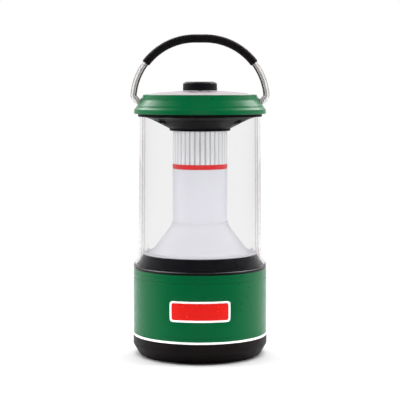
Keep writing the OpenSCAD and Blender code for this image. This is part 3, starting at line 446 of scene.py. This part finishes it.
def section(node):
    """The outline of a revolved CAD node as (radius, height) points, cut on its +X side."""
    bm = welded(node)
    cut = bmesh.ops.bisect_plane(bm, geom=bm.verts[:] + bm.edges[:] + bm.faces[:], plane_co=(0, 0, 0),
                                 plane_no=(0, 1, 0), dist=NO_LENGTH)["geom_cut"]
    links = {}
    for edge in cut:
        if isinstance(edge, bmesh.types.BMEdge) and all(v.co.x > -ON_AXIS for v in edge.verts):
            a, b = edge.verts
            links.setdefault(a, []).append(b)
            links.setdefault(b, []).append(a)
    loops = []
    while links:
        start = max(links, key=lambda v: (v.co.x, v.co.z))
        loop, last, here = [start], None, start
        while True:
            after = [v for v in links[here] if v is not last]
            if not after or after[0] is start:
                break
            last, here = here, after[0]
            loop.append(here)
        for v in loop:
            links.pop(v, None)
        for v in list(links):
            links[v] = [x for x in links[v] if x in links]
            if not links[v]:
                del links[v]
        loops.append([Vector((v.co.x, v.co.z)) for v in loop])
    bm.free()
    return straightened(max(loops, key=len))


def straightened(loop, least_bend=0.002):
    """A closed outline without the points that lie on a straight line between their neighbours."""
    kept = []
    for i, p in enumerate(loop):
        a, b = p - loop[i - 1], loop[(i + 1) % len(loop)] - p
        if a.length < NO_LENGTH:
            continue
        if b.length < NO_LENGTH or abs(a.normalized().cross(b.normalized())) > least_bend:
            kept.append(p)
    return kept


def eased(loop, steps=4, least_curve=0.01):
    """A closed outline with its stepped fillets turned into curves. Real corners stay sharp."""
    count = len(loop)
    sides = [loop[(i + 1) % count] - loop[i] for i in range(count)]
    limit = math.cos(math.radians(CORNER))

    def tangent(i, side):
        a, b = sides[i - 1], sides[i]
        if a.normalized().dot(b.normalized()) < limit:
            return side.normalized()
        return (a.normalized() * a.length ** 3 + b.normalized() * b.length ** 3).normalized()

    made = []
    for i, side in enumerate(sides):
        p, q = loop[i], loop[(i + 1) % count]
        u, v = tangent(i, side) * side.length, tangent((i + 1) % count, side) * side.length
        bent = (u - side).length + (v - side).length > least_curve * side.length
        for k in range(steps if bent else 1):
            t = k / steps
            made.append(p * (2 * t ** 3 - 3 * t ** 2 + 1) + u * (t ** 3 - 2 * t ** 2 + t)
                        + q * (3 * t ** 2 - 2 * t ** 3) + v * (t ** 3 - t ** 2))
    return made


def round_turn(steps):
    """Angles in radians at even steps round a circle."""
    return [2 * math.pi * k / steps for k in range(steps)]


def join_rings(bm, rings, closed):
    """Faces between neighbouring rings of vertices. A ring of one vertex makes a fan."""
    pairs = list(zip(rings, rings[1:])) + ([(rings[-1], rings[0])] if closed else [])
    for a, b in pairs:
        if len(a) == 1 and len(b) == 1:
            continue
        for k in range(max(len(a), len(b))):
            corners = [a[k % len(a)], a[(k + 1) % len(a)], b[(k + 1) % len(b)], b[k % len(b)]]
            corners = [v for j, v in enumerate(corners) if v not in corners[:j]]
            if len(corners) > 2:
                bm.faces.new(corners)


def lathe(name, loop, steps=TURN_STEPS):
    """A mesh that turns a closed (radius, height) outline round the axis. Points on the axis become one."""
    bm = bmesh.new()
    rings = []
    for p in loop:
        if p.x < ON_AXIS:
            rings.append([bm.verts.new((0, 0, p.y))])
        else:
            rings.append([bm.verts.new((p.x * math.cos(t), p.x * math.sin(t), p.y))
                          for t in round_turn(steps)])
    join_rings(bm, rings, closed=True)
    bmesh.ops.recalc_face_normals(bm, faces=bm.faces)
    return finished_mesh(name, bm)


def turned(node, steps):
    """A revolved CAD node again, with more and truer faces."""
    remade(node, lathe(node + "_turned", eased(section(node)), steps))


def tube_rings(bm, path, radii, sides=48):
    """Rings of vertices square to a path in the XZ plane, each with its own radius."""
    rings = []
    for i, (p, r) in enumerate(zip(path, radii)):
        along = path[min(i + 1, len(path) - 1)] - path[max(i - 1, 0)]
        across = Vector((along.z, 0, -along.x)).normalized()
        rings.append([bm.verts.new(p + r * (math.cos(t) * across + math.sin(t) * Vector((0, 1, 0))))
                      for t in round_turn(sides)])
    return rings


def heading(angle):
    """Unit vector in the XZ plane, at an angle in degrees from straight up towards +X."""
    a = math.radians(angle)
    return Vector((math.sin(a), 0, math.cos(a)))


def arc(centre, radius, start, end, steps):
    """Points on an arc in the XZ plane, between two angles as in heading()."""
    return [centre + radius * heading(start + (end - start) * k / steps) for k in range(steps + 1)]


def mirrored(half):
    """The whole of a row that is given from its middle outwards on the +X side."""
    return [Vector((-p.x, p.y, p.z)) for p in half[:0:-1]] + half


# ---------------------------------------------------------------- pieces

class Bail:
    """The bail's centre line, from the CAD's boxes and the few sizes of its bends."""
    rod = 3.1 * MM          # radius of the rod
    pin = 2.1 * MM          # radius of the pins in the bushes
    pin_reach = 11.7 * MM   # from the corner of the foot to the end of the pin
    pin_edge = 0.3 * MM     # chamfer at that end
    # From rod to pin: mm past the heel, and the radius as a share of the rod's
    taper = ((0.5, 1.0), (1.0, 0.92), (1.3, 0.78), (1.5, 0.7))
    flat = 4.9 * MM         # half the straight part at the very top
    grip_angle = 53         # degrees from the top at which the grip ends
    grip_edge = 0.8 * MM    # rounding of the grip's ends
    grip_slack = 0.05 * MM  # between the rod and the grip
    foot_start = 84.3       # degrees at which the rod begins to bend in to its foot
    foot_turn = 129         # and those at which it ends
    foot_bend = 4.0 * MM    # radius of that bend
    heel = 3.4 * MM         # radius of the bend into the pin

    def __init__(self):
        grip_low, grip_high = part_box("bail_grip")
        self.grip = (grip_high.y - grip_low.y) / 2
        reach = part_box("bail_rod")[1].x - self.rod - self.flat - self.foot_bend
        self.radius = reach / math.sin(math.radians(self.foot_start)) + self.foot_bend
        self.centre = Vector((self.flat, 0, grip_high.z - self.grip - self.radius))
        out = heading(self.foot_start)
        self.bend_centre = self.centre + self.radius * out - out * self.foot_bend
        turn = math.radians(self.foot_turn)
        bend_end = self.bend_centre + self.foot_bend * heading(self.foot_turn)
        length = (bend_end.z - PIVOT_Z) / math.sin(turn)
        self.corner = Vector((bend_end.x + length * math.cos(turn), 0, PIVOT_Z))

    def crown(self, end, steps):
        """Points along the crown, from the middle of its flat to an angle on the +X side."""
        return [Vector((0, 0, self.centre.z + self.radius))] + arc(self.centre, self.radius, 0, end, steps)

    def half(self):
        """Points and radii from the middle of the top to the end of the pin on the +X side."""
        points = self.crown(self.foot_start, 96)
        points += arc(self.bend_centre, self.foot_bend, self.foot_start, self.foot_turn, 14)[1:]
        back = self.heel * math.tan(math.radians((180 - self.foot_turn) / 2))
        points += arc(self.corner + Vector((-back, 0, self.heel)), self.heel, self.foot_turn, 180, 14)
        radii = [self.rod] * len(points)
        inner = [self.corner.x - back - along * MM for along, _ in self.taper]
        inner += [self.corner.x - self.pin_reach + self.pin_edge, self.corner.x - self.pin_reach]
        points += [Vector((x, 0, self.corner.z)) for x in inner]
        radii += [max(self.pin, self.rod * share) for _, share in self.taper]
        radii += [self.pin, self.pin - self.pin_edge]
        return points, radii

    def rod_mesh(self):
        """The rod as one closed tube."""
        points, radii = self.half()
        bm = bmesh.new()
        rings = tube_rings(bm, mirrored(points), radii[:0:-1] + radii)
        join_rings(bm, rings, closed=False)
        for ring in (rings[0], rings[-1]):
            bm.faces.new(ring)
        bmesh.ops.recalc_face_normals(bm, faces=bm.faces)
        return finished_mesh("bail_rod", bm, ROUND_CORNER)

    def grip_mesh(self):
        """Foam sleeve: rounded ends, and a bore that the rod fills."""
        path = mirrored(self.crown(self.grip_angle, 72))
        lead = (path[0] - path[1]).normalized()
        tail = (path[-1] - path[-2]).normalized()
        steps = 6       # of each rounded end
        ends = [(self.grip_edge * (1 - math.cos(t)), self.grip_edge * (1 - math.sin(t)))
                for t in (math.pi / 2 * k / steps for k in range(steps + 1))]
        outer = [(path[0] - lead * inset, self.grip - cut) for inset, cut in ends]
        outer += [(p, self.grip) for p in path[2:-2]]
        outer += [(path[-1] - tail * inset, self.grip - cut) for inset, cut in reversed(ends)]
        bm = bmesh.new()
        skin = tube_rings(bm, [p for p, _ in outer], [r for _, r in outer])
        bore = tube_rings(bm, path, [self.rod + self.grip_slack] * len(path))
        join_rings(bm, skin + bore[::-1], closed=True)
        bmesh.ops.recalc_face_normals(bm, faces=bm.faces)
        return finished_mesh("bail_grip", bm, ROUND_CORNER)


def heat_sink_mesh():
    """The heat sink: round ribs side by side outside, a plain bore, and a floor with a hole."""
    wall, floor_height, clearance = 2 * MM, 4 * MM, 0.1 * MM
    half_arc, steps = 104, 10       # degrees that a rib shows to each side of its crest
    low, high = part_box("heat_sink")
    outer, rib = sink_ribs()
    hub = outer - rib
    bore = hub - rib - wall
    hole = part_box("centre_tube")[1].x + clearance
    floor_top = low.z + floor_height
    ribs, plain = [], []
    for i in range(SINK_RIBS):
        middle = 2 * math.pi * (i + 0.5) / SINK_RIBS
        for k in range(steps):
            turn = math.radians(-half_arc + 2 * half_arc * k / steps)
            ribs.append((hub * math.cos(middle) + rib * math.cos(middle + turn),
                         hub * math.sin(middle) + rib * math.sin(middle + turn)))
            plain.append(middle + math.pi / SINK_RIBS * (2 * k / steps - 1))
    bm = bmesh.new()
    rings = [[bm.verts.new((x, y, z)) for x, y in ribs] for z in (low.z, high.z)]
    for r, z in ((bore, high.z), (bore, floor_top), (hole, floor_top), (hole, low.z)):
        rings.append([bm.verts.new((r * math.cos(a), r * math.sin(a), z)) for a in plain])
    join_rings(bm, rings, closed=True)
    bmesh.ops.recalc_face_normals(bm, faces=bm.faces)
    return finished_mesh("heat_sink", bm, ROUND_CORNER)


def seam_lip():
    """Shallow green lip behind the joint of the housing and the ring on it."""
    thick, lap = 1 * MM, 1 * MM
    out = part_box("upper_ring")[1].x - SEAM_DEPTH
    low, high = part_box("base_housing")[1].z - lap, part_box("upper_ring")[0].z + lap
    loop = [Vector(p) for p in ((out - thick, low), (out, low), (out, high), (out - thick, high))]
    piece("seam_lip", lathe("seam_lip", loop), BODY_OF["upper_ring"], "green_shell")


def height_on(loop, radius):
    """Height of the upper side of a (radius, height) outline at a radius."""
    found = []
    for i, q in enumerate(loop):
        p = loop[i - 1]
        if (p.x - radius) * (q.x - radius) <= 0 and abs(p.x - q.x) > NO_LENGTH:
            found.append(p.y + (q.y - p.y) * (radius - p.x) / (q.x - p.x))
    return max(found)


def dial_ticks():
    """Plain scale printed on the dial plate in front of the knob, as thin raised strokes."""
    count, long_every, spread = 11, 5, 20               # strokes, and degrees to each side of the front
    start, long_start, end = 26 * MM, 24 * MM, 34 * MM  # radii
    half_width, proud, sunk = 0.6 * MM, 0.06 * MM, 0.3 * MM
    loop = section("dial_plate")
    bm = bmesh.new()
    for i in range(count):
        turn = math.radians(-90 + spread * (2 * i / (count - 1) - 1))
        out = Vector((math.cos(turn), math.sin(turn), 0))
        across = Vector((-math.sin(turn), math.cos(turn), 0))
        rings = []
        for r in (start if i % long_every else long_start, end):
            z = height_on(loop, r)
            rings.append([bm.verts.new(r * out + side * half_width * across + Vector((0, 0, z + lift)))
                          for side, lift in ((-1, -sunk), (1, -sunk), (1, proud), (-1, proud))])
        join_rings(bm, rings, closed=False)
        for ring in rings:
            bm.faces.new(ring)
    bmesh.ops.recalc_face_normals(bm, faces=bm.faces)
    piece("dial_ticks", finished_mesh("dial_ticks", bm), BODY_OF["dial_plate"], "knob_black")


# ---------------------------------------------------------------- stage, light and camera

# How bright the studio is by direction, from the front (-Y, 0) round the sides to the back (+Y, 1)
STUDIO = ((0.0, 0.02), (0.07, 0.03), (0.25, 0.25), (0.5, 0.56), (0.75, 0.66), (0.93, 0.86), (1.0, 1.0))
OVERHEAD = 0.12             # share of that which is left straight overhead
FLOOR_FADE = (0.12, 0.34)   # distances from the axis between which the paper turns plain white
# What stands in the middle of the globe and just above it. The stronger side lamps stay off it.
COLUMN = ("diffuser_tube_finished", "flared_reflector_finished", "heat_sink_finished", "red_ring_finished")


def paper():
    """Pale paper of the floor, with white and dark parts that depend on which kind of ray meets it."""
    p = Paint("floor_paper", 0.9, Specular_IOR_Level=0.1)
    seen = p.plain_view()
    sheet = p.mix(p.ramp(p.noise(3, 3), 0.3, 0.7), as_colour(0.8), as_colour(0.81))
    # As a mirror image or as light on the lantern, the paper is darker towards the front
    depth = p.add("ShaderNodeSeparateXYZ", Vector=p.place).outputs["Y"]
    p.colour(p.mix(seen, p.ramp(depth, -0.3, 0.0, 0.05, 0.8), sheet))
    # To the camera it is as white as the backdrop beyond the lantern's shadow
    away = p.vector("LENGTH", p.place).outputs["Value"]
    white = p.add("ShaderNodeEmission", Color=as_colour(1.0), Strength=1.0).outputs["Emission"]
    top = p.blend(p.calc("MULTIPLY", p.ramp(away, *FLOOR_FADE), seen), p.shader.outputs["BSDF"], white)
    # Nothing of it shows from underneath
    below = p.add("ShaderNodeNewGeometry").outputs["Backfacing"]
    p.surface(p.blend(below, top, p.add("ShaderNodeBsdfTransparent").outputs["BSDF"]))
    return p.material


def floor():
    """Wide round sheet of paper under the lantern."""
    bm = bmesh.new()
    bmesh.ops.create_circle(bm, cap_ends=True, segments=96, radius=4.0)
    mesh = bpy.data.meshes.new("floor_mesh")
    bm.to_mesh(mesh)
    bm.free()
    mesh.materials.append(paper())
    obj = bpy.data.objects.new("floor", mesh)
    bpy.context.scene.collection.objects.link(obj)


def world():
    """A studio with a dark front and bright sides, which is plain white where it is looked at directly."""
    backdrop = bpy.data.worlds.new("studio")
    bpy.context.scene.world = backdrop
    backdrop.use_nodes = True
    backdrop.node_tree.nodes.clear()
    n = Nodes(backdrop.node_tree)
    toward = n.add("ShaderNodeTexCoord").outputs["Generated"]
    axes = n.add("ShaderNodeSeparateXYZ", Vector=toward).outputs
    tone = n.tones(n.calc("MULTIPLY_ADD", axes["Y"], 0.5, 0.5), STUDIO)
    strength = n.ramp(axes["Z"], 0.4, 0.85, 1.0, OVERHEAD)
    studio = n.add("ShaderNodeBackground", Color=tone, Strength=strength).outputs["Background"]
    white = n.add("ShaderNodeBackground", Color=as_colour(1.0), Strength=1.0).outputs["Background"]
    n.add("ShaderNodeOutputWorld", Surface=n.blend(n.plain_view(), studio, white))


def lamp(name, place, aim, size, power, seen_as="diffuse"):
    """A soft lamp that either lights matt surfaces or shows as a patch in glossy ones."""
    data = bpy.data.lights.new(name, "AREA")
    data.shape = "RECTANGLE"
    data.size, data.size_y = size
    data.energy = power
    obj = bpy.data.objects.new(name, data)
    obj.location = place
    obj.rotation_euler = (Vector(aim) - Vector(place)).to_track_quat("-Z", "Y").to_euler()
    obj.visible_glossy = seen_as == "gloss"
    obj.visible_diffuse = seen_as == "diffuse"
    obj.visible_transmission = False
    bpy.context.scene.collection.objects.link(obj)
    return obj


def share(light, on=None, off=()):
    """Keeps a lamp's light on some pieces, or off some pieces."""
    lit = bpy.data.collections.new(light.name + "_lit")
    for obj in bpy.context.scene.objects:
        if obj.type == "MESH" and obj.name not in off and (on is None or obj.name in on):
            lit.objects.link(obj)
    light.light_linking.receiver_collection = lit


def lamps():
    """Lamps at both sides, in front and above, and bands and patches for the gloss."""
    for side in (-1, 1):
        lamp("side", (0.95 * side, 0.2, 0.6), (0, 0, 0.2), (0.7, 0.9), 4)
        share(lamp("wing", (0.95 * side, 0.1, 0.5), (0, 0, 0.15), (0.7, 0.9), 13), off=(*COLUMN, "floor"))
        share(lamp("patch", (0.68 * side, 0.74, 1.1), (0, 0, 0.2), (0.8, 0.8), 16, "gloss"),
              off=("globe_collar_finished", "globe_finished"))
        share(lamp("band", (0.9 * side, -0.15, 0.55), (0, -0.15, 0.09), (0.5, 1.0), 9, "gloss"),
              on=("globe_collar_finished",))
    share(lamp("front", (0, -1.5, 0.45), (0, 0, 0.15), (1.0, 0.6), 18), off=("floor",))
    share(lamp("key", (0, -0.9, 1.4), (0, 0, 0.2), (0.6, 0.6), 9), off=("floor",))
    share(lamp("over", (0, 0.25, 1.6), (0, 0, 0), (2.6, 1.0), 60), on=("floor",))


def camera():
    """The photograph's view: level with the knob from 1.39 m in front, tilted down a little."""
    distance, height, tilt = 1.390, 0.2688, 4.77
    data = bpy.data.cameras.new("view")
    data.lens = 126.65
    data.sensor_width = 36
    obj = bpy.data.objects.new("view", data)
    obj.location = (0, -distance, height)
    obj.rotation_euler = (math.radians(90 - tilt), 0, 0)
    bpy.context.scene.collection.objects.link(obj)
    bpy.context.scene.camera = obj


# ---------------------------------------------------------------- the scene

FINISH = finishes()

TURNED = ("trim_ring", "red_ring", "diffuser_tube", "dial_plate", "globe")
for node in TURNED:
    turned(node, GLOBE_STEPS if node == "globe" else TURN_STEPS)
seam_lip()
dial_ticks()

bail = Bail()
REBUILT = {"bail_rod": bail.rod_mesh(), "bail_grip": bail.grip_mesh(), "heat_sink": heat_sink_mesh()}
for node, mesh in REBUILT.items():
    remade(node, mesh)

for node in SLOTS:
    if node not in TURNED and node not in REBUILT:
        refined(node)

floor()
world()
lamps()
camera()
bpy.context.scene.view_settings.view_transform = "Standard"
